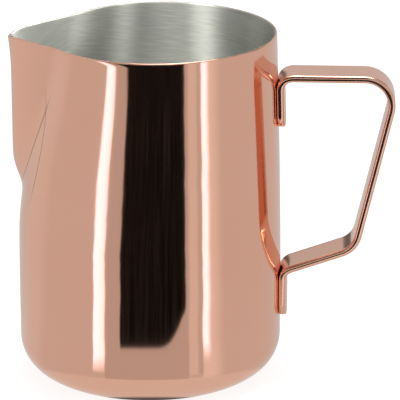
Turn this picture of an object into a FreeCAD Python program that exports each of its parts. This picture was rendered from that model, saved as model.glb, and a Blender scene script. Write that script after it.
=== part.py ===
"""Milk frothing jug: a drawn steel body with a pressed V spout, and a strap handle welded to it.

Millimetres. +Z is up, the origin is on the body's axis at the surface it stands on, the spout points
to -X and the handle to +X. The body is made of closed sections, each a smooth curve around the axis.
"""
import FreeCAD, Part
import os
from math import cos, exp, pi, radians, sin, sqrt, tan

from FreeCAD import Vector

# Body: turned form
BODY_HEIGHT = 114.0        # resting plane to the rim, away from the spout
BELLY_RADIUS = 43.0        # outside
BELLY_TOP = 31.5           # the wall starts to draw in above this
RIM_DRAW = 1.8             # how far the wall has drawn in at the rim, away from the spout
TAPER_POWER = 1.5          # how late the wall draws in
CORNER_RADIUS = 12.0       # outside corner between the wall and the base
WALL = 0.8                 # sheet thickness
BASE_RECESS = 1.0          # how far the base panel is pressed up
FOOT_WIDTH = 4.0           # flat ring that the jug stands on
RECESS_SLOPE = 1.2         # width of the step between the foot and the panel

# Spout
RIDGE_OUT = 1.65           # the spout's ridge stands out this far beyond the belly
LIP_FLARE = 0.8            # the tip stands out this much further
LIP_FLARE_HEIGHT = 13.0    # height of the flared lip
CHIN_DROP = 38.0           # rim to the height below which the ridge turns in
CHIN_HEIGHT = 12.0         # height over which it turns in, down to where it meets the wall
CHIN_DEPTH = 3.1           # how far it has turned in by then
CHIN_POWER = 2.7
V_SLOPE = 1.1              # how far the spout's sides run back for each millimetre across
TIP_ROUND = 6.5            # radius of the V's nose
SPOUT_ANGLE = 60.0         # degrees from the spout within which its V can stand out of the wall
PINCH_DEPTH = 9.3          # how far the wall is drawn in beside the spout, at the rim
PINCH_ANGLE = 107.0        # degrees from the spout at which the wall is round again
PINCH_DROP = 67.0          # rim to the height at which the drawing in starts
CREASE_SOFT_RIM = 2.0      # softness of the valley between spout and wall, at the rim
CREASE_SOFT_CHIN = 5.0     # and at the chin
MOUTH_DIP = 0.95           # the rim's gentle fall towards the spout
LIP_DIP = 1.1              # the sharper fall at the tip itself
LIP_DIP_ANGLE = 7.0
DIP_DROP = 30.0            # rim to the height below which the sections are level

# Handle
STRAP_WIDTH = 14.4
STRAP = 2.3                # thickness
STRAP_EDGE = 0.9           # rounding of the strap's long edges
GRIP_DROP = 12.35          # rim to the upper face of the top run
GRIP_OUT = 37.5            # belly to the corner of the top run and the grip, on the strap's middle
LOWER_OUT = 24.2           # belly to the corner of the grip and the lower run, on the strap's middle
LOWER_CORNER = 43.35       # height of that corner
LOWER_SLOPE = 19.5         # degrees below the horizontal
TOP_BEND = 8.8             # bends, to the strap's middle
LOWER_BEND = 8.0
TAB_BEND = 4.0
UPPER_TAB_DROP = 30.4      # rim to the lower end of the upper tab
LOWER_TAB_END = 19.2       # height of the lower end of the lower tab
TAB_CORNER = 4.5           # rounding of the tabs' lower corners
TAB_GAP = 0.02             # between a tab and the wall it is welded to
TAB_FILL = 1.2             # how far a tab's back is filled out before it is shaped to the body

# Spot welds
NUGGET_RADIUS = 2.0
NUGGET_IN_WALL = 0.5
NUGGET_IN_TAB = 1.2
NUGGET_SPACING = 5.5
UPPER_WELD_FROM_END = 3.6  # tab end to its lower weld
LOWER_WELD_FROM_END = 3.4

# Heights and reaches that follow from the sizes above
CHIN_TOP = BODY_HEIGHT - CHIN_DROP
PINCH_START = BODY_HEIGHT - PINCH_DROP
DIP_START = BODY_HEIGHT - DIP_DROP
LIP_LEVEL = BODY_HEIGHT - WALL / 2.0
UPPER_TAB_END = BODY_HEIGHT - UPPER_TAB_DROP
TAB_REACH = BELLY_RADIUS + 2.0 * STRAP

# Sections of the body
AROUND = 72                # points on each section
CROWDING = 26.0            # degrees by which the points crowd towards the spout
CORNER_SECTIONS = 6
WALL_SECTIONS = 40         # from the corner to the rim
LIP_SECTIONS = 6           # round the rolled edge of the rim
SLOPE_STEP = 0.05          # degrees and millimetres over which the wall's slope is taken
SEW = 0.002


def smooth_step(value):
    t = min(1.0, max(0.0, value))
    return t * t * (3.0 - 2.0 * t)


def soft_max(a, b, soft):
    """The larger of two radii, with a rounded valley where they are within soft of each other."""
    share = max(0.0, soft - abs(a - b)) / soft
    return max(a, b) + soft * share ** 3 / 6.0


def round_radius(z):
    """Outside radius of the turned form at height z, above its corner."""
    t = max(0.0, z - BELLY_TOP) / (BODY_HEIGHT - BELLY_TOP)
    return BELLY_RADIUS - RIM_DRAW * t ** TAPER_POWER


def ridge_reach(z):
    """Axis to the spout's ridge at height z; well below the chin it has run in to the axis."""
    flare = max(0.0, z - (BODY_HEIGHT - LIP_FLARE_HEIGHT)) / LIP_FLARE_HEIGHT
    chin = max(0.0, CHIN_TOP - z) / CHIN_HEIGHT
    reach = BELLY_RADIUS + RIDGE_OUT + LIP_FLARE * flare ** 2 - CHIN_DEPTH * chin ** CHIN_POWER
    return max(0.0, reach)


def outer_radius(turn, z):
    """Outside radius at an angle of turn degrees from the spout and height z."""
    pinch = PINCH_DEPTH * smooth_step((z - PINCH_START) / (BODY_HEIGHT - PINCH_START))
    share = (1.0 + cos(pi * min(1.0, abs(turn) / PINCH_ANGLE))) / 2.0
    wall = round_radius(z) - pinch * share
    if z < PINCH_START or abs(turn) > SPOUT_ANGLE:
        return wall
    # The spout's V is x = reach - V_SLOPE * sqrt(y^2 + TIP_ROUND^2), solved for the radius
    reach = ridge_reach(z) + V_SLOPE * TIP_ROUND
    c, s = cos(radians(turn)), sin(radians(turn))
    spread = c * c - (V_SLOPE * s) ** 2
    left = reach ** 2 - (V_SLOPE * TIP_ROUND) ** 2
    nose = left / (reach * c + sqrt(max(0.0, (reach * c) ** 2 - spread * left)))
    rise = smooth_step((z - CHIN_TOP + CHIN_HEIGHT) / (BODY_HEIGHT - CHIN_TOP))
    soft = CREASE_SOFT_CHIN + (CREASE_SOFT_RIM - CREASE_SOFT_CHIN) * rise
    return soft_max(wall, nose, soft)


def rim_fall(turn):
    """How far the rim lies below its full height, at an angle of turn degrees from the spout."""
    broad = MOUTH_DIP * cos(radians(min(90.0, abs(turn)))) ** 2
    return broad + LIP_DIP * exp(-((turn / LIP_DIP_ANGLE) ** 2))


def outside_point(turn, level):
    """Point on the outside, above the corner."""
    fall = rim_fall(turn) * smooth_step((level - DIP_START) / (BODY_HEIGHT - DIP_START))
    r = outer_radius(turn, level)
    return Vector(-r * cos(radians(turn)), r * sin(radians(turn)), level - fall)


def wall_frame(turn, level):
    """Point on the outside, the outward normal there and the upward direction along the wall."""
    along = outside_point(turn + SLOPE_STEP, level) - outside_point(turn - SLOPE_STEP, level)
    up = outside_point(turn, level + SLOPE_STEP) - outside_point(turn, level - SLOPE_STEP)
    out = up.cross(along)
    return outside_point(turn, level), out.normalize(), up.normalize()


def wall_point(turn, level, inset):
    """Point at a depth of inset under the outside. In the corner, level runs evenly round its arc."""
    if level > CORNER_RADIUS:
        point, out, _ = wall_frame(turn, level)
        return point - out * inset
    swing = pi / 2.0 * level / CORNER_RADIUS
    r = BELLY_RADIUS - CORNER_RADIUS + (CORNER_RADIUS - inset) * sin(swing)
    z = CORNER_RADIUS - (CORNER_RADIUS - inset) * cos(swing)
    return Vector(-r * cos(radians(turn)), r * sin(radians(turn)), z)


def turns():
    """Angles from the spout of a section's points, closer together towards the spout."""
    even = [360.0 * i / AROUND - 180.0 for i in range(AROUND)]
    return [turn - CROWDING * sin(radians(turn)) for turn in even]


def closed_curve(points):
    """A smooth closed curve; every section has the same spacing of knots, so that they match."""
    curve = Part.BSplineCurve()
    knots = [i / AROUND for i in range(AROUND + 1)]
    curve.interpolate(Points=points, PeriodicFlag=True, Parameters=knots)
    return Part.Wire([curve.toShape()])


def wall_section(level, inset):
    return closed_curve([wall_point(turn, level, inset) for turn in turns()])


def lip_section(swing):
    """Section of the rim's rounded edge, swing degrees over from the outside."""
    points = []
    for turn in turns():
        point, out, up = wall_frame(turn, LIP_LEVEL)
        arm = out * (cos(radians(swing)) - 1.0) + up * sin(radians(swing))
        points.append(point + arm * (WALL / 2.0))
    return closed_curve(points)


def skin(sections):
    """Faces of one smooth surface through closed sections."""
    return Part.makeLoft(sections, False, False).Faces


def sewn(faces):
    shell = Part.Shell(faces)
    shell.sewShape(SEW)
    solid = Part.Solid(shell.Shells[0] if shell.ShapeType != "Shell" else shell)
    if solid.Volume < 0.0:
        solid.reverse()
    return solid


def flat_ring(outline, radius, z):
    """Flat face between a closed section and a circle around the axis."""
    hole = Part.Wire([Part.makeCircle(radius, Vector(0, 0, z))])
    return Part.makeFace([outline, hole], "Part::FaceMakerBullseye")


def panel_faces(foot_radius, z):
    """The pressed-up base panel and the sloping step around it."""
    inner = foot_radius - RECESS_SLOPE
    step = Part.makeLine(Vector(foot_radius, 0, z), Vector(inner, 0, z + BASE_RECESS))
    panel = Part.makeLine(Vector(inner, 0, z + BASE_RECESS), Vector(0, 0, z + BASE_RECESS))
    return Part.Wire([step, panel]).revolve(Vector(0, 0, 0), Vector(0, 0, 1), 360.0).Faces


def wall_levels():
    """Levels of the sections: evenly round the corner, then evenly up the wall."""
    corner = [CORNER_RADIUS * i / CORNER_SECTIONS for i in range(CORNER_SECTIONS)]
    rise = (LIP_LEVEL - CORNER_RADIUS) / WALL_SECTIONS
    return corner + [CORNER_RADIUS + rise * i for i in range(WALL_SECTIONS)] + [LIP_LEVEL]


def jug_body():
    outside = [wall_section(level, 0.0) for level in wall_levels()]
    inside = [wall_section(level, WALL) for level in wall_levels()]
    lip = [lip_section(180.0 * i / LIP_SECTIONS) for i in range(LIP_SECTIONS + 1)]
    foot = BELLY_RADIUS - CORNER_RADIUS - FOOT_WIDTH
    faces = skin(outside) + skin(inside) + skin(lip)
    faces += [flat_ring(outside[0], foot, 0.0)] + panel_faces(foot, 0.0)
    faces += [flat_ring(inside[0], foot, WALL)] + panel_faces(foot, WALL)
    return sewn(faces)


def strap_corners():
    """Corners of the strap's middle line, seen from the side, with the radius of the bend at each."""
    top = BODY_HEIGHT - GRIP_DROP - STRAP / 2.0
    off = TAB_GAP + STRAP / 2.0
    lower_x = BELLY_RADIUS + off
    turn_z = LOWER_CORNER - (LOWER_OUT - off) * tan(radians(LOWER_SLOPE))
    return [
        (round_radius(UPPER_TAB_END) + off, UPPER_TAB_END, 0.0),
        (round_radius(top) + off, top, TAB_BEND),
        (BELLY_RADIUS + GRIP_OUT, top, TOP_BEND),
        (BELLY_RADIUS + LOWER_OUT, LOWER_CORNER, LOWER_BEND),
        (lower_x, turn_z, TAB_BEND),
        (lower_x, LOWER_TAB_END, 0.0),
    ]


def strap_path():
    """The strap's middle line: straight runs joined by tangent arcs."""
    corners = strap_corners()
    edges = []
    start = Vector(corners[0][0], 0, corners[0][1])
    for i in range(1, len(corners) - 1):
        here, after = [Vector(c[0], 0, c[1]) for c in corners[i:i + 2]]
        way_in = (here - start).normalize()
        way_out = (after - here).normalize()
        half_turn = way_in.getAngle(way_out) / 2.0
        setback = corners[i][2] * tan(half_turn)
        bend_start, bend_end = here - way_in * setback, here + way_out * setback
        inward = (way_out - way_in).normalize()
        bend_middle = here + inward * corners[i][2] * (1.0 / cos(half_turn) - 1.0)
        edges.append(Part.makeLine(start, bend_start))
        edges.append(Part.Arc(bend_start, bend_middle, bend_end).toShape())
        start = bend_end
    edges.append(Part.makeLine(start, Vector(corners[-1][0], 0, corners[-1][1])))
    return Part.Wire(edges)


def strap_section():
    """The strap's section at the end of the upper tab: flat, with rounded long edges."""
    x, low, _ = strap_corners()[0]
    plate = Part.makeBox(STRAP, STRAP_WIDTH, 1.0, Vector(x - STRAP / 2.0, -STRAP_WIDTH / 2.0, low))
    upright = [e for e in plate.Edges if abs(e.Vertexes[0].Z - e.Vertexes[1].Z) > 0.5]
    rounded = plate.makeFillet(STRAP_EDGE, upright)
    return min(rounded.Faces, key=lambda face: face.CenterOfMass.z).OuterWire


def tab_outline(low, high):
    """A block through one tab, with its rounded lower corners, from the axis to past the tab."""
    block = Part.makeBox(TAB_REACH, STRAP_WIDTH, high - low, Vector(0, -STRAP_WIDTH / 2.0, low))
    lower = [e for e in block.Edges if e.Length > TAB_REACH - 1.0 and e.CenterOfMass.z < low + 1.0]
    return block.makeFillet(TAB_CORNER, lower)


def tab_spans():
    """Lower end of each tab and the height at which its bend starts."""
    corners = strap_corners()
    half_turn = radians(90.0 - LOWER_SLOPE) / 2.0
    upper = (UPPER_TAB_END, corners[1][1] - TAB_BEND)
    lower = (LOWER_TAB_END, corners[4][1] - TAB_BEND * tan(half_turn))
    return upper, lower


def round_form(gap):
    """The body's turned form as a solid, larger all round by gap, to shape the tabs' backs."""
    heights = wall_levels()[CORNER_SECTIONS:-1:4] + [BODY_HEIGHT]
    side = Part.BSplineCurve()
    side.interpolate([Vector(round_radius(z) + gap, 0, z) for z in heights])
    low, high = Vector(0, 0, CORNER_RADIUS), Vector(0, 0, BODY_HEIGHT)
    edges = [side.toShape(), Part.makeLine(side.EndPoint, high), Part.makeLine(high, low),
             Part.makeLine(low, side.StartPoint)]
    return Part.Face(Part.Wire(edges)).revolve(Vector(0, 0, 0), Vector(0, 0, 1), 360.0)


def handle(nuggets):
    """The strap, with each tab filled out at the back to lie on the round body."""
    strap = strap_path().makePipeShell([strap_section()], True, False)
    for low, high in tab_spans():
        outline = tab_outline(low, high)
        x = round_radius(high)
        corner = Vector(x - TAB_FILL, -STRAP_WIDTH / 2.0, low)
        filler = Part.makeBox(STRAP_EDGE + TAB_FILL, STRAP_WIDTH, high - low, corner)
        band = Part.makeBox(TAB_REACH, 2.0 * STRAP_WIDTH, high - low, Vector(0, -STRAP_WIDTH, low))
        strap = strap.fuse(filler).cut(band.cut(outline))
    return strap.cut(round_form(TAB_GAP)).cut(nuggets).removeSplitter()


def spot_welds(low):
    """Two nuggets, one above the other, from inside the wall to inside the tab."""
    nuggets = []
    for i in range(2):
        z = low + i * NUGGET_SPACING
        start = Vector(round_radius(z) - NUGGET_IN_WALL, 0, z)
        length = NUGGET_IN_WALL + TAB_GAP + NUGGET_IN_TAB
        nuggets.append(Part.makeCylinder(NUGGET_RADIUS, length, start, Vector(1, 0, 0)))
    return Part.makeCompound(nuggets)


os.makedirs("parts", exist_ok=True)
upper_welds = spot_welds(UPPER_TAB_END + UPPER_WELD_FROM_END)
lower_welds = spot_welds(LOWER_TAB_END + LOWER_WELD_FROM_END)
all_welds = Part.makeCompound([upper_welds, lower_welds])
pieces = {
    "jug_body": jug_body().cut(all_welds),
    "handle": handle(all_welds),
    "upper_spot_welds": upper_welds,
    "lower_spot_welds": lower_welds,
}
for name, shape in pieces.items():
    shape.exportStep("parts/" + name + ".step")
    print(name, shape.isValid(), len(shape.Solids), round(shape.Volume, 1))
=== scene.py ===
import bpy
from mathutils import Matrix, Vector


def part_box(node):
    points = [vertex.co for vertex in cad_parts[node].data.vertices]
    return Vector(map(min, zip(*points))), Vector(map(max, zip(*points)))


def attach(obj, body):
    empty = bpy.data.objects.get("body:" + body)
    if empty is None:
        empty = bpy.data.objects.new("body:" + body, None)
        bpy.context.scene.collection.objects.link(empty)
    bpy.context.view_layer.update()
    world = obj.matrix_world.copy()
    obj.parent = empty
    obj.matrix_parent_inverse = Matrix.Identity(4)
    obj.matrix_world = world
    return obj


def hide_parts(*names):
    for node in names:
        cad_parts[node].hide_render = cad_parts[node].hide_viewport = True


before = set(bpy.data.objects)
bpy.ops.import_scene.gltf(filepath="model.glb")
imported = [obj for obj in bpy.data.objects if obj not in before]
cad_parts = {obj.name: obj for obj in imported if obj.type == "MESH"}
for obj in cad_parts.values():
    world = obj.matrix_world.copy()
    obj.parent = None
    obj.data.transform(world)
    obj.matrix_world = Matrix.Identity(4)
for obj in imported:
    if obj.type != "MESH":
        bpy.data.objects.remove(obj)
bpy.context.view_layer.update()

from math import cos, pi, radians, sin, tan

import bmesh
import bpy
from mathutils import Matrix, Vector

MM = 0.001


# The steel cup.
# It is one disc of stainless steel, drawn into a cup in a press, its rim rolled smooth, its spout pressed
# out from inside and the middle of its base pressed up so that it stands on a narrow ring.
cup_low, cup_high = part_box("jug_body")
LIP_PAST_RIDGE = 0.75 * MM
CUP_SIZES = {
    "Height": cup_high.z,
    "Belly Radius": cup_high.y,
    "Belly Top": 31.5 * MM,
    "Rim Draw": 1.8 * MM,
    "Taper Power": 1.5,
    "Ridge Reach": -cup_low.x - LIP_PAST_RIDGE,
    "Lip Flare": 0.8 * MM,
    "Lip Flare Height": 13.0 * MM,
    "Chin Top": cup_high.z - 38.0 * MM,
    "Chin Height": 12.0 * MM,
    "Chin Depth": 3.1 * MM,
    "Chin Power": 2.7,
    "V Slope": 1.1,
    "Tip Round": 6.5 * MM,
    "Spout Angle": radians(60.0),
    "Pinch Depth": 9.3 * MM,
    "Pinch Angle": radians(107.0),
    "Pinch Start": cup_high.z - 67.0 * MM,
    "Crease Soft Rim": 2.0 * MM,
    "Crease Soft Chin": 5.0 * MM,
    "Mouth Dip": 0.95 * MM,
    "Lip Dip": 1.1 * MM,
    "Lip Dip Angle": radians(7.0),
    "Dip Start": cup_high.z - 30.0 * MM,
}
CORNER_RADIUS = 12.0 * MM
WALL = 0.8 * MM
BASE_RECESS = 1.0 * MM
FOOT_WIDTH = 4.0 * MM
RECESS_SLOPE = 1.2 * MM
RECESS_ROUND = 0.35 * MM
COPPER_ROOM = 0.05 * MM
LIP_LEVEL = CUP_SIZES["Height"] - WALL / 2.0

# The sheet that the cup is made from: points to a row, crowded towards the spout, and rows
COLUMNS = 288
CROWDING = radians(26.0)
CORNER_ROWS = 18
WALL_ROWS = 96
RIM_ROWS = 14
# What each row says: its level on the wall with an arm out of and up along the wall, or a flat place
ROW_FACTS = ("level", "arm_out", "arm_up", "flat_r", "flat_z", "is_flat")


class Field:
    """A number that varies over a surface. Sums on fields add Math nodes to their tree."""

    def __init__(self, tree, socket):
        self.tree, self.socket = tree, socket

    def math(self, operation, *others):
        node = self.tree.nodes.new("ShaderNodeMath")
        node.operation = operation
        for slot, value in zip(node.inputs, (self,) + others):
            connect(self.tree, slot, value)
        return Field(self.tree, node.outputs[0])

    def __add__(self, other):
        return self.math("ADD", other)

    def __sub__(self, other):
        return self.math("SUBTRACT", other)

    def __mul__(self, other):
        return self.math("MULTIPLY", other)

    def __truediv__(self, other):
        return self.math("DIVIDE", other)

    def __pow__(self, other):
        return self.math("POWER", other)

    def over_zero(self):
        return self.math("MAXIMUM", 0.0)

    def smooth(self):
        """Smooth step from 0 to 1."""
        t = self.over_zero().math("MINIMUM", 1.0)
        return t * t * (t * -2.0 + 3.0)


def connect(tree, slot, value):
    if isinstance(value, Field):
        tree.links.new(value.socket, slot)
    else:
        slot.default_value = value


def vector(tree, x, y, z):
    node = tree.nodes.new("ShaderNodeCombineXYZ")
    for slot, value in zip(node.inputs, (x, y, z)):
        connect(tree, slot, value)
    return Field(tree, node.outputs[0])


def vector_math(tree, operation, *values):
    node = tree.nodes.new("ShaderNodeVectorMath")
    node.operation = operation
    for value, slot in zip(values, [node.inputs[0], node.inputs[1]]):
        connect(tree, slot, value)
    return Field(tree, node.outputs[0])


def scaled(tree, value, factor):
    node = tree.nodes.new("ShaderNodeVectorMath")
    node.operation = "SCALE"
    connect(tree, node.inputs[0], value)
    connect(tree, node.inputs["Scale"], factor)
    return Field(tree, node.outputs[0])


def soft_max(a, b, soft):
    """The larger of two fields, with a rounded valley where they are within soft of each other."""
    share = (soft - (a - b).math("ABSOLUTE")).over_zero() / soft
    return a.math("MAXIMUM", b) + soft * share * share * share / 6.0


def cup_outside(size, turn, level):
    """Radius and height of the outside, turn radians from the spout, and the wall's lead on the spout."""
    height, chin_top = size["Height"], size["Chin Top"]
    side = turn.math("ABSOLUTE")
    taper = ((level - size["Belly Top"]) / (height - size["Belly Top"])).over_zero() ** size["Taper Power"]
    turned = size["Belly Radius"] - size["Rim Draw"] * taper
    grown = ((level - size["Pinch Start"]) / (height - size["Pinch Start"])).smooth()
    around = ((side / size["Pinch Angle"]).math("MINIMUM", 1.0) * pi).math("COSINE") * 0.5 + 0.5
    wall = turned - size["Pinch Depth"] * grown * around
    flare = ((level - height + size["Lip Flare Height"]) / size["Lip Flare Height"]).over_zero()
    chin = ((chin_top - level) / size["Chin Height"]).over_zero() ** size["Chin Power"]
    ridge = size["Ridge Reach"] + size["Lip Flare"] * flare * flare
    reach = ridge - size["Chin Depth"] * chin + size["V Slope"] * size["Tip Round"]
    c = turn.math("COSINE")
    s = turn.math("SINE") * size["V Slope"]
    blunt = size["V Slope"] * size["Tip Round"]
    left = reach * reach - blunt * blunt
    root = (reach * reach * c * c - (c * c - s * s) * left).over_zero().math("SQRT")
    inside = side.math("LESS_THAN", size["Spout Angle"]) * level.math("GREATER_THAN", size["Pinch Start"])
    nose = left / (reach * c + root) * inside
    rise = ((level - chin_top + size["Chin Height"]) / (height - chin_top)).smooth()
    soft = size["Crease Soft Chin"] + (size["Crease Soft Rim"] - size["Crease Soft Chin"]) * rise
    broad = side.math("MINIMUM", pi / 2.0).math("COSINE")
    lip = turn / size["Lip Dip Angle"]
    fall = size["Mouth Dip"] * broad * broad + size["Lip Dip"] * (lip * lip * -1.0).math("EXPONENT")
    low = ((level - size["Dip Start"]) / (height - size["Dip Start"])).smooth()
    return soft_max(wall, nose, soft), level - fall * low, wall - nose


def named_field(tree, name):
    node = tree.nodes.new("GeometryNodeInputNamedAttribute")
    node.data_type = "FLOAT"
    node.inputs["Name"].default_value = name
    return Field(tree, node.outputs["Attribute"])


def stored(tree, geometry, name, value):
    """Geometry with a field kept on its points as a named attribute."""
    keep = tree.nodes.new("GeometryNodeStoreNamedAttribute")
    keep.data_type = "FLOAT"
    keep.domain = "POINT"
    keep.inputs["Name"].default_value = name
    connect(tree, keep.inputs["Value"], value)
    tree.links.new(geometry, keep.inputs["Geometry"])
    return keep.outputs["Geometry"]


def finish_tree(tree, geometry, material):
    """Smooth faces, Realize Instances and Set Material at the end of a tree."""
    smooth = tree.nodes.new("GeometryNodeSetShadeSmooth")
    real = tree.nodes.new("GeometryNodeRealizeInstances")
    paint = tree.nodes.new("GeometryNodeSetMaterial")
    result = tree.nodes.new("NodeGroupOutput")
    tree.links.new(geometry, smooth.inputs["Geometry"])
    tree.links.new(smooth.outputs["Geometry"], real.inputs["Geometry"])
    tree.links.new(real.outputs["Geometry"], paint.inputs["Geometry"])
    tree.links.new(material, paint.inputs["Material"])
    tree.links.new(paint.outputs["Geometry"], result.inputs["Geometry"])


def cup_tree():
    """Places the points of a sheet of rows on the cup, from what each row says of its place in the wall."""
    tree = bpy.data.node_groups.new("cup_form", "GeometryNodeTree")
    tree.interface.new_socket("Geometry", in_out="INPUT", socket_type="NodeSocketGeometry")
    tree.interface.new_socket("Geometry", in_out="OUTPUT", socket_type="NodeSocketGeometry")
    for name in CUP_SIZES:
        tree.interface.new_socket(name, in_out="INPUT", socket_type="NodeSocketFloat")
    tree.interface.new_socket("Material", in_out="INPUT", socket_type="NodeSocketMaterial")
    given = tree.nodes.new("NodeGroupInput")
    size = {name: Field(tree, given.outputs[name]) for name in CUP_SIZES}
    turn, level = named_field(tree, "turn"), named_field(tree, "level")
    arm_out, arm_up = named_field(tree, "arm_out"), named_field(tree, "arm_up")
    flat_r, flat_z, is_flat = [named_field(tree, name) for name in ("flat_r", "flat_z", "is_flat")]

    def place(turn, radius, height):
        return vector(tree, radius * turn.math("COSINE") * -1.0, radius * turn.math("SINE"), height)

    def on_cup(turn, level):
        return place(turn, *cup_outside(size, turn, level)[:2])

    step_turn, step_level = radians(0.3), 0.2 * MM  # over which the wall's slope is taken
    point = on_cup(turn, level)
    along = vector_math(tree, "SUBTRACT", on_cup(turn + step_turn, level), on_cup(turn - step_turn, level))
    rise = vector_math(tree, "SUBTRACT", on_cup(turn, level + step_level), on_cup(turn, level - step_level))
    up = vector_math(tree, "NORMALIZE", rise)
    out = vector_math(tree, "NORMALIZE", vector_math(tree, "CROSS_PRODUCT", up, along))
    arm = vector_math(tree, "ADD", scaled(tree, out, arm_out), scaled(tree, up, arm_up))
    wall = vector_math(tree, "ADD", point, arm)
    flat = place(turn, flat_r, flat_z)
    switch = tree.nodes.new("GeometryNodeSwitch")
    switch.input_type = "VECTOR"
    connect(tree, switch.inputs["Switch"], is_flat.math("GREATER_THAN", 0.5))
    connect(tree, switch.inputs["False"], wall)
    connect(tree, switch.inputs["True"], flat)
    move = tree.nodes.new("GeometryNodeSetPosition")
    tree.links.new(given.outputs["Geometry"], move.inputs["Geometry"])
    tree.links.new(switch.outputs["Output"], move.inputs["Position"])
    kept = stored(tree, move.outputs["Geometry"], "wall_lead", cup_outside(size, turn, level)[2])
    finish_tree(tree, kept, given.outputs["Material"])
    return tree


def baked(name, source, tree, values):
    """Runs a tree on an object and returns the result as a plain mesh object, without working attributes."""
    bpy.context.scene.collection.objects.link(source)
    modifier = source.modifiers.new(tree.name, "NODES")
    modifier.node_group = tree
    for item in tree.interface.items_tree:
        if item.item_type == "SOCKET" and item.in_out == "INPUT" and item.name in values:
            modifier[item.identifier] = values[item.name]
    source.update_tag()
    evaluated = source.evaluated_get(bpy.context.evaluated_depsgraph_get())
    mesh = bpy.data.meshes.new_from_object(evaluated)
    bpy.data.objects.remove(source)
    for layer in list(mesh.attributes):
        if layer.name in ROW_FACTS + ("turn", "fit", "line_x"):
            mesh.attributes.remove(layer)
    piece = bpy.data.objects.new(name, mesh)
    mesh.name = name
    bpy.context.scene.collection.objects.link(piece)
    return piece


def base_rows(inset):
    """Rows of one side of the base and its corner, from the middle outwards."""
    corner_x = CUP_SIZES["Belly Radius"] - CORNER_RADIUS
    foot, drop = corner_x - FOOT_WIDTH, 0.1 * MM
    panel, z = foot - RECESS_SLOPE, inset + BASE_RECESS
    places = [(panel * share, z) for share in (0.0, 0.2, 0.4, 0.6, 0.8, 0.93)]
    places += [(panel - RECESS_ROUND, z), (panel, z - drop)]
    places += [(foot, inset + drop), (foot + RECESS_ROUND, inset)]
    places += [(foot + FOOT_WIDTH * share, inset) for share in (0.3, 0.65)]
    for i in range(CORNER_ROWS + 1):
        swing, radius = pi / 2.0 * i / CORNER_ROWS, CORNER_RADIUS - inset
        places.append((corner_x + radius * sin(swing), CORNER_RADIUS - radius * cos(swing)))
    return [(0.0, 0.0, 0.0, r, z, 1.0) for r, z in places]


def wall_rows(inset):
    span = LIP_LEVEL - CORNER_RADIUS
    levels = [CORNER_RADIUS + span * (i + 1) / WALL_ROWS for i in range(WALL_ROWS)]
    return [(level, -inset, 0.0, 0.0, 0.0, 0.0) for level in levels]


def lip_rows(first, last, start_radius, end_radius, steps):
    """Rows round the rolled rim, between two swings over from the outside."""
    rows = []
    for i in range(1, steps + 1):
        swing = radians(first + (last - first) * i / steps)
        radius = start_radius + (end_radius - start_radius) * i / steps
        rows.append((LIP_LEVEL, radius * cos(swing) - WALL / 2.0, radius * sin(swing), 0.0, 0.0, 0.0))
    return rows


def sheet_of(name, rows):
    """A closed skin of rows around the axis, its first and last row being points on the axis."""
    mesh = bpy.data.meshes.new(name)
    form = bmesh.new()
    facts = [form.verts.layers.float.new(fact) for fact in ROW_FACTS + ("turn",)]
    even = [2.0 * pi * i / COLUMNS - pi for i in range(COLUMNS)]
    turns = [turn - CROWDING * sin(turn) for turn in even]
    grid = []
    for number, row in enumerate(rows):
        ends = number in (0, len(rows) - 1)
        line = []
        for turn in turns[:1] if ends else turns:
            vert = form.verts.new((turn, number, 0.0))
            for layer, value in zip(facts, row + (turn,)):
                vert[layer] = value
            line.append(vert)
        grid.append(line * COLUMNS if ends else line)
    for lower, upper in zip(grid, grid[1:]):
        for i in range(COLUMNS):
            j = (i + 1) % COLUMNS
            corners = [lower[j], lower[i], upper[i], upper[j]]
            form.faces.new(list(dict.fromkeys(corners)))
    form.to_mesh(mesh)
    form.free()
    return bpy.data.objects.new(name + "_sheet", mesh)


def noise(tree, place, scale, detail=2.0, rough=0.5):
    node = tree.nodes.new("ShaderNodeTexNoise")
    node.inputs["Detail"].default_value = detail
    node.inputs["Roughness"].default_value = rough
    connect(tree, node.inputs["Vector"], place)
    connect(tree, node.inputs["Scale"], scale)
    return Field(tree, node.outputs["Fac"])


def object_place(tree):
    return Field(tree, tree.nodes.new("ShaderNodeTexCoord").outputs["Object"])


def split(tree, place):
    node = tree.nodes.new("ShaderNodeSeparateXYZ")
    connect(tree, node.inputs[0], place)
    return [Field(tree, socket) for socket in node.outputs]


def bump(tree, height):
    node = tree.nodes.new("ShaderNodeBump")
    node.inputs["Distance"].default_value = 1.0
    connect(tree, node.inputs["Height"], height)
    return Field(tree, node.outputs["Normal"])


def metal(name, color, roughness):
    material = bpy.data.materials.new(name)
    material.use_nodes = True
    shader = material.node_tree.nodes["Principled BSDF"]
    shader.inputs["Base Color"].default_value = (*color, 1.0)
    shader.inputs["Metallic"].default_value = 1.0
    shader.inputs["Roughness"].default_value = roughness
    return material, material.node_tree, shader


def mixed(tree, factor, low, high):
    """The colour between two, each a field or a plain colour."""
    node = tree.nodes.new("ShaderNodeMix")
    node.data_type = "RGBA"
    connect(tree, node.inputs["Factor"], factor)
    for slot, color in (("A", low), ("B", high)):
        connect(tree, node.inputs[slot], color if isinstance(color, Field) else (*color, 1.0))
    return Field(tree, node.outputs["Result"])


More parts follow.
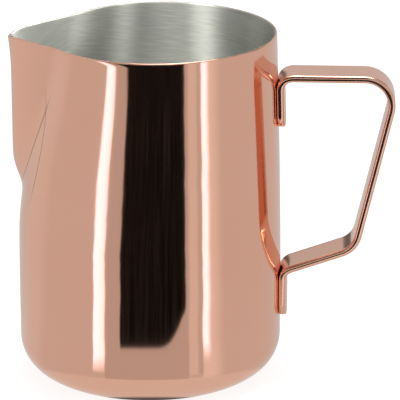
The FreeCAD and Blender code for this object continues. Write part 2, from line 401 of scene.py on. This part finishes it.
def brushed_steel():
    """Bare stainless steel, brushed round and round with the cup turning in a lathe."""
    material, tree, shader = metal("brushed_steel", (0.68, 0.68, 0.61), 0.5)
    x, y, z = split(tree, object_place(tree))
    across = z + (x * x + y * y).math("SQRT")
    fine = noise(tree, vector(tree, x * 0.05, y * 0.05, across), 2600.0, 3.0, 0.6)
    broad = noise(tree, vector(tree, x * 0.2, y * 0.2, across), 420.0, 2.0)
    cloud = noise(tree, object_place(tree), 26.0, 3.0)
    connect(tree, shader.inputs["Normal"], bump(tree, fine * 1.0e-5 + broad * 1.0e-5))
    connect(tree, shader.inputs["Roughness"], fine * 0.16 + cloud * 0.06 + 0.36)
    tone = mixed(tree, fine * 0.75 + cloud * 0.25, (0.30, 0.31, 0.285), (0.78, 0.785, 0.725))
    connect(tree, shader.inputs["Base Color"], tone)
    shader.inputs["Anisotropic"].default_value = 0.85
    shader.inputs["Anisotropic Rotation"].default_value = 0.25
    around = tree.nodes.new("ShaderNodeTangent")
    around.direction_type = "RADIAL"
    around.axis = "Z"
    tree.links.new(around.outputs["Tangent"], shader.inputs["Tangent"])
    return material


CUP_FORM = cup_tree()
steel_half = WALL / 2.0 - COPPER_ROOM
steel_rows = base_rows(COPPER_ROOM) + wall_rows(COPPER_ROOM)
steel_rows += lip_rows(0.0, 180.0, steel_half, WALL / 2.0, RIM_ROWS)
steel_rows += wall_rows(WALL)[-2::-1] + base_rows(WALL)[::-1]
steel_cup = baked("steel_cup", sheet_of("steel_cup", steel_rows), CUP_FORM,
                  {**CUP_SIZES, "Material": brushed_steel()})
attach(steel_cup, "root")
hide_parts("jug_body")


# The copper plate.
# It is a bright film of copper that covers the cup's outside and the outer part of its rolled rim. It is put
# on in a plating bath after the handle is welded on, then polished like a mirror.
LIP_JOIN = 112.0           # degrees over the rim at which the copper ends
LIP_LAP = 8.0              # degrees by which its inner face stops short of that
LIP_ROWS = 7
copper_rows = base_rows(0.0) + wall_rows(0.0)
copper_rows += lip_rows(0.0, LIP_JOIN, WALL / 2.0, WALL / 2.0, LIP_ROWS)
copper_rows += lip_rows(LIP_JOIN + LIP_LAP, LIP_LAP, steel_half, steel_half, LIP_ROWS)
copper_rows += wall_rows(COPPER_ROOM)[::-1] + base_rows(COPPER_ROOM)[::-1]

# Painted shade: dark lines along the edges of the valley beside the spout, in millimetres and in degrees
# from the spout
VALLEY_LEAD, VALLEY_WIDTH = 0.35, 0.2
VALLEY_MIDDLE, VALLEY_SPAN = 80.0, 18.0
BEHIND_ANGLE, BEHIND_WIDTH = 30.9, 0.3
BEHIND_MIDDLE, BEHIND_SPAN = 79.5, 20.0
BEHIND_BOW, BOW_MIDDLE, BOW_SPAN = 1.8, 82.0, 13.0


def shader_group(name, inputs, outputs):
    """An empty shader node group with named sockets, and fields for its inputs."""
    tree = bpy.data.node_groups.new(name, "ShaderNodeTree")
    for socket, value in inputs.items():
        added = tree.interface.new_socket(socket, in_out="INPUT", socket_type="NodeSocketFloat")
        added.default_value = value
    for socket, kind in outputs.items():
        tree.interface.new_socket(socket, in_out="OUTPUT", socket_type=kind)
    given = tree.nodes.new("NodeGroupInput")
    return tree, {socket: Field(tree, given.outputs[socket]) for socket in inputs}


def group_outputs(tree, **values):
    result = tree.nodes.new("NodeGroupOutput")
    for socket, value in values.items():
        connect(tree, result.inputs[socket], value)


def mirror_polish_group():
    """What polishing leaves: slow waves in the sheet, very fine lines and a faint haze."""
    sockets = {"Roughness": "NodeSocketFloat", "Normal": "NodeSocketVector", "Tone": "NodeSocketFloat"}
    tree, given = shader_group("mirror_polish", {"Waves": 1.0, "Haze": 0.03, "Line Depth": 1.0}, sockets)
    place = object_place(tree)
    x, y, z = split(tree, place)
    slow = noise(tree, vector(tree, x, y, z * 0.6), 45.0, 1.0)
    lines = noise(tree, vector(tree, x * 0.15, y * 0.15, z * 9.0), 600.0, 3.0)
    haze = noise(tree, place, 30.0, 4.0)
    height = slow * given["Waves"] * 1.6e-5 + lines * given["Line Depth"] * 5.0e-8
    rough = haze * given["Haze"] + lines * 0.02 + 0.045
    group_outputs(tree, Roughness=rough, Normal=bump(tree, height), Tone=haze)
    return tree


def placed(tree, group, values):
    """A node group put into a material, with its own values."""
    node = tree.nodes.new("ShaderNodeGroup")
    node.node_tree = group
    for socket, value in values.items():
        node.inputs[socket].default_value = value
    return {socket.name: Field(tree, socket) for socket in node.outputs}


def line_at(distance, width):
    """1 where a field is 0, falling to 0 where it is width away."""
    near = ((distance / width).math("ABSOLUTE") * -1.0 + 1.0).over_zero()
    return (near * 2.5).math("MINIMUM", 1.0)


def painted_crease_shade(tree):
    """Painted shade: dark lines at the valley's edges, one in the valley beside the spout, one behind it.
    Both fade out.
    """
    x, y, z = split(tree, object_place(tree))
    lead = tree.nodes.new("ShaderNodeAttribute")
    lead.attribute_name = "wall_lead"
    lead = Field(tree, lead.outputs["Fac"])
    side = y.math("ABSOLUTE").math("ARCTAN2", x * -1.0) * (180.0 / pi)
    z = z / MM
    valley = line_at(lead / MM - VALLEY_LEAD, VALLEY_WIDTH) * line_at(z - VALLEY_MIDDLE, VALLEY_SPAN)
    bow = (z - BOW_MIDDLE) / BOW_SPAN
    behind = line_at(side - BEHIND_ANGLE + bow * bow * BEHIND_BOW, BEHIND_WIDTH)
    return valley * 0.55 + behind * line_at(z - BEHIND_MIDDLE, BEHIND_SPAN)


MIRROR_POLISH = mirror_polish_group()


def copper_plate(name, waves, haze, line_depth):
    """Copper, electroplated bright and polished."""
    material, tree, shader = metal(name, (0.93, 0.53, 0.39), 0.07)
    polish = placed(tree, MIRROR_POLISH, {"Waves": waves, "Haze": haze, "Line Depth": line_depth})
    tone = mixed(tree, polish["Tone"], (0.915, 0.51, 0.362), (0.945, 0.54, 0.405))
    connect(tree, shader.inputs["Base Color"], tone)
    connect(tree, shader.inputs["Roughness"], polish["Roughness"])
    connect(tree, shader.inputs["Normal"], polish["Normal"])
    return material, tree, shader, tone


def copper_on_cup():
    material, tree, shader, tone = copper_plate("copper_on_cup", 1.0, 0.03, 1.0)
    # The copper's colour darkened to a painted shade along the valley's edges
    crease_shaded_tone = mixed(tree, painted_crease_shade(tree), tone, (0.26, 0.13, 0.09))
    connect(tree, shader.inputs["Base Color"], crease_shaded_tone)
    return material


copper_skin = baked("copper_skin", sheet_of("copper_skin", copper_rows), CUP_FORM,
                    {**CUP_SIZES, "Material": copper_on_cup()})
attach(copper_skin, "root")
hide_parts("jug_body")


# The handle.
# It is a steel strap with its long edges rounded, bent in five places over a former, its two ends pressed
# to the cup's curve as tabs with rounded corners, spot welded to the cup and plated with it.
strap_low, strap_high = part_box("handle")
STRAP_SIZES = {
    "Width": strap_high.y - strap_low.y,
    "Thickness": 2.3 * MM,
    "Edge Radius": 0.9 * MM,
    "Spacing": 0.3 * MM,
    "Tab Reach": CUP_SIZES["Belly Radius"] + 1.17 * MM,
    "Fit Fade": 3.2 * MM,
    "Tab Corner": 4.5 * MM,
    "Upper Tab End": CUP_SIZES["Height"] - 30.4 * MM,
    "Lower Tab End": strap_low.z,
}
LOWER_SLOPE = radians(19.5)
GRIP_OUT, LOWER_OUT, LOWER_CORNER = 37.5 * MM, 24.2 * MM, 43.35 * MM
TOP_BEND, LOWER_BEND, TAB_BEND = 8.8 * MM, 8.0 * MM, 4.0 * MM
POINTS_TO_A_BEND, POINTS_TO_AN_EDGE = 24, 6
ROUND_SPACING = 0.42 * MM  # between points round the strap's section


def strap_corners():
    """Corners of the strap's middle line, seen from the side, each with the radius of its bend."""
    top = strap_high.z - STRAP_SIZES["Thickness"] / 2.0
    belly, tab_x = CUP_SIZES["Belly Radius"], STRAP_SIZES["Tab Reach"]
    turn_z = LOWER_CORNER - (belly + LOWER_OUT - tab_x) * tan(LOWER_SLOPE)
    upper = []
    for z in (STRAP_SIZES["Upper Tab End"], top):
        share = (z - CUP_SIZES["Belly Top"]) / (CUP_SIZES["Height"] - CUP_SIZES["Belly Top"])
        upper.append(tab_x - CUP_SIZES["Rim Draw"] * share ** CUP_SIZES["Taper Power"])
    return [
        (upper[0], STRAP_SIZES["Upper Tab End"], 0.0),
        (upper[1], top, TAB_BEND),
        (belly + GRIP_OUT, top, TOP_BEND),
        (belly + LOWER_OUT, LOWER_CORNER, LOWER_BEND),
        (tab_x, turn_z, TAB_BEND),
        (tab_x, STRAP_SIZES["Lower Tab End"], 0.0),
    ]


def strap_line():
    """The corners as a curve of straight runs, with each bend's radius as the point's radius."""
    data = bpy.data.curves.new("strap_line", "CURVE")
    data.dimensions = "3D"
    spline = data.splines.new("POLY")
    corners = strap_corners()
    spline.points.add(len(corners) - 1)
    for point, (x, z, bend) in zip(spline.points, corners):
        point.co = (x, 0.0, z, 1.0)
        point.radius = bend
    return bpy.data.objects.new("strap_line", data)


def strap_tree():
    """Rounds the line's corners, runs the strap's section along it and fits the tabs to the cup."""
    tree = bpy.data.node_groups.new("bent_strap", "GeometryNodeTree")
    tree.interface.new_socket("Geometry", in_out="INPUT", socket_type="NodeSocketGeometry")
    tree.interface.new_socket("Geometry", in_out="OUTPUT", socket_type="NodeSocketGeometry")
    for name in STRAP_SIZES:
        tree.interface.new_socket(name, in_out="INPUT", socket_type="NodeSocketFloat")
    tree.interface.new_socket("Material", in_out="INPUT", socket_type="NodeSocketMaterial")
    given = tree.nodes.new("NodeGroupInput")
    size = {name: Field(tree, given.outputs[name]) for name in STRAP_SIZES}
    radius = tree.nodes.new("GeometryNodeInputRadius")
    fillet = tree.nodes.new("GeometryNodeFilletCurve")
    fillet.mode = "POLY"
    fillet.inputs["Count"].default_value = POINTS_TO_A_BEND
    tree.links.new(given.outputs["Geometry"], fillet.inputs["Curve"])
    tree.links.new(radius.outputs["Radius"], fillet.inputs["Radius"])
    even = tree.nodes.new("GeometryNodeResampleCurve")
    even.mode = "LENGTH"
    tree.links.new(fillet.outputs["Curve"], even.inputs["Curve"])
    connect(tree, even.inputs["Length"], size["Spacing"])
    plain = tree.nodes.new("GeometryNodeSetCurveRadius")
    plain.inputs["Radius"].default_value = 1.0
    tree.links.new(even.outputs["Curve"], plain.inputs["Curve"])
    facing = tree.nodes.new("GeometryNodeSetCurveNormal")
    facing.mode = "FREE"
    facing.inputs["Normal"].default_value = (0.0, 1.0, 0.0)
    tree.links.new(plain.outputs["Curve"], facing.inputs["Curve"])
    here = tree.nodes.new("GeometryNodeInputPosition")
    line_x, _, _ = split(tree, Field(tree, here.outputs["Position"]))
    faded = ((line_x - size["Tab Reach"]) / size["Fit Fade"]).smooth() * -1.0 + 1.0
    line = stored(tree, stored(tree, facing.outputs["Curve"], "fit", faded), "line_x", line_x)
    section = tree.nodes.new("GeometryNodeCurvePrimitiveQuadrilateral")
    section.mode = "RECTANGLE"
    connect(tree, section.inputs["Width"], size["Width"])
    connect(tree, section.inputs["Height"], size["Thickness"])
    soft_edges = tree.nodes.new("GeometryNodeFilletCurve")
    soft_edges.mode = "POLY"
    soft_edges.inputs["Count"].default_value = POINTS_TO_AN_EDGE
    tree.links.new(section.outputs["Curve"], soft_edges.inputs["Curve"])
    connect(tree, soft_edges.inputs["Radius"], size["Edge Radius"])
    fine = tree.nodes.new("GeometryNodeResampleCurve")
    fine.mode = "LENGTH"
    fine.inputs["Length"].default_value = ROUND_SPACING
    tree.links.new(soft_edges.outputs["Curve"], fine.inputs["Curve"])
    strap = tree.nodes.new("GeometryNodeCurveToMesh")
    strap.inputs["Fill Caps"].default_value = True
    tree.links.new(line, strap.inputs["Curve"])
    tree.links.new(fine.outputs["Curve"], strap.inputs["Profile Curve"])
    x, y, z = split(tree, Field(tree, here.outputs["Position"]))
    fit, line_x = named_field(tree, "fit"), named_field(tree, "line_x")
    half = size["Width"] / 2.0
    on_upper = z.math("GREATER_THAN", size["Upper Tab End"] * 0.6)
    tab_end = size["Lower Tab End"] + (size["Upper Tab End"] - size["Lower Tab End"]) * on_upper
    short = (size["Tab Corner"] - (z - tab_end)).over_zero().math("MINIMUM", size["Tab Corner"])
    bow = (size["Tab Corner"] * size["Tab Corner"] - short * short).over_zero().math("SQRT")
    narrow = (half - size["Tab Corner"] + bow) / half
    near = (size["Edge Radius"] - (z - tab_end)).over_zero().math("MINIMUM", size["Edge Radius"])
    left = size["Edge Radius"] * size["Edge Radius"] - near * near
    edge = size["Edge Radius"] - left.over_zero().math("SQRT")
    on_tab = fit.math("GREATER_THAN", 0.5)
    y_new = y * ((narrow - edge / half - 1.0) * on_tab + 1.0)
    x = line_x + (x - line_x) * (edge / (size["Thickness"] * -0.5) * on_tab + 1.0)
    sag = x - (x * x - y_new * y_new).math("SQRT")
    move = tree.nodes.new("GeometryNodeSetPosition")
    tree.links.new(strap.outputs["Mesh"], move.inputs["Geometry"])
    connect(tree, move.inputs["Position"], vector(tree, x - sag * fit, y_new, z))
    weld = tree.nodes.new("GeometryNodeMergeByDistance")
    weld.inputs["Distance"].default_value = 0.002 * MM
    tree.links.new(move.outputs["Geometry"], weld.inputs["Geometry"])
    finish_tree(tree, weld.outputs["Geometry"], given.outputs["Material"])
    return tree


strap = baked("strap_handle", strap_line(), strap_tree(),
              {**STRAP_SIZES, "Material": copper_plate("copper_on_strap", 0.6, 0.22, 2.0)[0]})
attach(strap, "root")
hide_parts("handle")


# The spot welds.
# Each is a small lens of steel, melted between two copper electrodes, that joins a tab to the cup. They lie
# inside the metal and are the same steel as the cup, without its brushing.
def weld_steel():
    material, tree, shader = metal("weld_steel", (0.5, 0.5, 0.49), 0.5)
    grain = noise(tree, object_place(tree), 3000.0, 2.0)
    tone = mixed(tree, grain, (0.42, 0.40, 0.38), (0.58, 0.56, 0.54))
    connect(tree, shader.inputs["Base Color"], tone)
    connect(tree, shader.inputs["Roughness"], grain * 0.3 + 0.35)
    return material


for node in ("upper_spot_welds", "lower_spot_welds"):
    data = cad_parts[node].data
    data.materials.clear()
    data.materials.append(weld_steel())


# The studio.
# A pale table and soft light all round. The rest is there for reflections only: under the table a floor with
# tones that the polished copper shows, a dark card behind, and bright cards that reach the steel inside.
CAMERA_TURN = radians(3.0)
CAMERA_RISE = radians(18.05)
CAMERA_DISTANCE = 860.0 * MM
LENS, SENSOR = 236.5, 36.0
AIM = Vector((16.43 * MM, 0.0, CUP_SIZES["Height"] / 2.0))
TABLE_HALF = 3.0
FLOOR_DROP = 1.0 * MM
TABLE_GLOW = 0.84
ROOM_GLOW = 0.6

# Tones laid one over another on the floor. Each has its edges, in degrees round the wall from the front,
# the softness of each edge, and how far in front of the wall it starts and over how many millimetres.
NEAR_TONE, FAR_TONE = 0.70, 0.615
FAR_START, FAR_SOFT = 17.0, 5.0
ALWAYS = -100.0
FLOOR_TONES = (
    (0.665, -70.0, -47.0, 8.0, 6.0, ALWAYS, 1.0),
    (0.52, -19.5, 17.4, 0.6, 0.4, 17.0, 3.0),
    (0.70, 17.4, 21.6, 0.4, 0.8, 26.0, 4.0),
    (0.55, 21.3, 23.6, 0.8, 0.3, 26.0, 4.0),
    (0.80, 23.4, 34.0, 0.35, 6.5, 12.0, 12.0),
    (1.7, 23.4, 27.6, 0.35, 2.2, 44.0, 22.0),
)
# Bright cards: bearing to the right of the front in degrees, width in millimetres and strength
CARD_REACH, CARD_LOW, CARD_HIGH = 450.0 * MM, 260.0 * MM, 900.0 * MM
INSIDE_CARDS = {
    "left_card": (-55.0, 105.0, 17.0),
    "right_card": (50.0, 50.0, 15.0),
    "front_card": (-6.0, 400.0, 2.6),
    "spout_card": (124.0, 200.0, 9.0),
}


def glow(name, color, strength):
    material = bpy.data.materials.new(name)
    material.use_nodes = True
    tree = material.node_tree
    tree.nodes.clear()
    light = tree.nodes.new("ShaderNodeEmission")
    light.inputs["Color"].default_value = (*color, 1.0)
    light.inputs["Strength"].default_value = strength
    out = tree.nodes.new("ShaderNodeOutputMaterial")
    tree.links.new(light.outputs[0], out.inputs["Surface"])
    return material


def studio_sheet(name, corners, material):
    mesh = bpy.data.meshes.new(name)
    mesh.from_pydata([tuple(c) for c in corners], [], [list(range(len(corners)))])
    mesh.materials.append(material)
    sheet = bpy.data.objects.new(name, mesh)
    bpy.context.scene.collection.objects.link(sheet)
    return sheet


def only_in_reflections(thing):
    thing.visible_camera = False
    thing.visible_diffuse = False
    thing.visible_shadow = False
    thing.visible_transmission = False
    thing.visible_volume_scatter = False


def between(value, low, high, soft_low, soft_high):
    return ((value - low) / soft_low).smooth() * ((value * -1.0 + high) / soft_high).smooth()


def laid_over(under, level, mask):
    return under + (mask * (under * -1.0 + level))


def tent_floor_glow():
    """The floor's tones; a place on it is given by where on the round wall it is seen, and its reach."""
    material = glow("tent_floor", (1.0, 1.0, 1.0), 1.0)
    tree = material.node_tree
    x, y, _ = split(tree, object_place(tree))
    c, s = cos(CAMERA_TURN), sin(CAMERA_TURN)
    right, front = x * c + y * s, x * s - y * c - CUP_SIZES["Belly Radius"] / 2.0
    reach = (right * right + front * front).math("SQRT") / MM - 21.5
    sway = noise(tree, vector(tree, reach * 0.02, 0.0, 0.0), 1.0, 2.0) - 0.5
    angle = right.math("ARCTAN2", front) * (90.0 / pi) + sway * 1.6
    angle = angle + ((reach - 250.0) / 170.0).over_zero() * angle.math("LESS_THAN", 0.0) * 1.7
    streaks = noise(tree, vector(tree, angle * 1.6, reach * 0.004, 0.0), 1.0, 3.0, 0.7)
    tone = ((reach - FAR_START) / FAR_SOFT).smooth() * (FAR_TONE - NEAR_TONE) + NEAR_TONE
    for level, left, right, soft_left, soft_right, start, soft_start in FLOOR_TONES:
        mask = between(angle, left, right, soft_left, soft_right) * ((reach - start) / soft_start).smooth()
        tone = laid_over(tone, level, mask)
    # A bright strip on the left that dims towards the front
    strip = between(angle, -24.4, -18.7, 0.35, 1.1) * ((reach - 30.0) / 24.0).smooth()
    tone = laid_over(tone, (((angle + 24.4) / 6.0).over_zero() * -0.16 + 1.0) * 1.85, strip)
    # A dark opening in front, its near end cut off in a curve on the right, and a painted shadow line under
    # the foot
    late = ((angle - 2.0) / 14.0).over_zero()
    cut = late * late * late * 42.0 + 57.0
    dark = between(angle, -12.6, 16.0, 0.3, 0.3) * ((reach - cut) / 3.0).smooth()
    tone = laid_over(tone, streaks * streaks * streaks * streaks * 0.14, dark)
    # Painted shadow: the floor darkened just under the foot
    tone = laid_over(tone, 0.12, ((reach * -1.0 - 3.5) / 3.0).smooth())
    shine = ((tone - 0.75) / 0.9).over_zero()
    color = vector(tree, tone, tone * (shine * 0.06 + 1.0), tone * (shine * 0.32 + 0.99))
    connect(tree, tree.nodes["Emission"].inputs["Color"], color)
    return material


def upright_card(name, bearing, reach, width, low, high, strength):
    """An upright card for reflections only, its middle bearing degrees to the right of the front."""
    middle = Vector((sin(radians(bearing)), -cos(radians(bearing)), 0.0)) * reach
    across = Vector((cos(radians(bearing)), sin(radians(bearing)), 0.0)) * width / 2.0
    up = Vector((0.0, 0.0, 1.0))
    corners = [middle - across + up * low, middle + across + up * low, middle + across + up * high,
               middle - across + up * high]
    sheet = studio_sheet(name, corners, glow(name, (1.0, 1.0, 0.98), strength))
    only_in_reflections(sheet)
    return sheet


def soft_light(name, place, size, power):
    data = bpy.data.lights.new(name, "AREA")
    data.size = size
    data.energy = power
    light = bpy.data.objects.new(name, data)
    light.location = place
    light.rotation_euler = (AIM - Vector(place)).to_track_quat("-Z", "Y").to_euler()
    bpy.context.scene.collection.objects.link(light)


square = [(-TABLE_HALF, -TABLE_HALF), (TABLE_HALF, -TABLE_HALF), (TABLE_HALF, TABLE_HALF),
          (-TABLE_HALF, TABLE_HALF)]
table_paint = bpy.data.materials.new("pale_table")
table_paint.use_nodes = True
table_shader = table_paint.node_tree.nodes["Principled BSDF"]
table_shader.inputs["Base Color"].default_value = (0.3, 0.3, 0.3, 1.0)
table_shader.inputs["Roughness"].default_value = 0.9
table_shader.inputs["Specular IOR Level"].default_value = 0.0
table_shader.inputs["Emission Color"].default_value = (1.0, 1.0, 1.0, 1.0)
table_shader.inputs["Emission Strength"].default_value = TABLE_GLOW
table = studio_sheet("table", [(x, y, 0.0) for x, y in square], table_paint)
table.visible_glossy = False
tent_floor = studio_sheet("tent_floor", [(x, y, -FLOOR_DROP) for x, y in square], tent_floor_glow())
only_in_reflections(tent_floor)
upright_card("back_card", 192.0, 520.0 * MM, 290.0 * MM, 0.0, 150.0 * MM, 0.14)
inside_light = bpy.data.collections.new("inside_light")
inside_light.objects.link(steel_cup)
for name, (bearing, width, strength) in INSIDE_CARDS.items():
    card = upright_card(name, bearing, CARD_REACH, width * MM, CARD_LOW, CARD_HIGH, strength)
    card.light_linking.receiver_collection = inside_light

world = bpy.data.worlds.new("studio")
world.use_nodes = True
world.node_tree.nodes["Background"].inputs["Color"].default_value = (1.0, 1.0, 1.0, 1.0)
world.node_tree.nodes["Background"].inputs["Strength"].default_value = ROOM_GLOW
bpy.context.scene.world = world
soft_light("top_light", (0.1, 0.15, 0.9), 0.5, 4.0)

turn = Matrix.Rotation(CAMERA_TURN, 3, "Z")
away = Vector((0.0, -cos(CAMERA_RISE), sin(CAMERA_RISE))) * CAMERA_DISTANCE
camera_data = bpy.data.cameras.new("camera")
camera_data.sensor_width = SENSOR
camera_data.lens = LENS
camera = bpy.data.objects.new("camera", camera_data)
camera.location = turn @ (AIM + away)
camera.rotation_euler = (-(turn @ away)).to_track_quat("-Z", "Y").to_euler()
bpy.context.scene.collection.objects.link(camera)
bpy.context.scene.camera = camera
bpy.context.scene.view_settings.view_transform = "Standard"
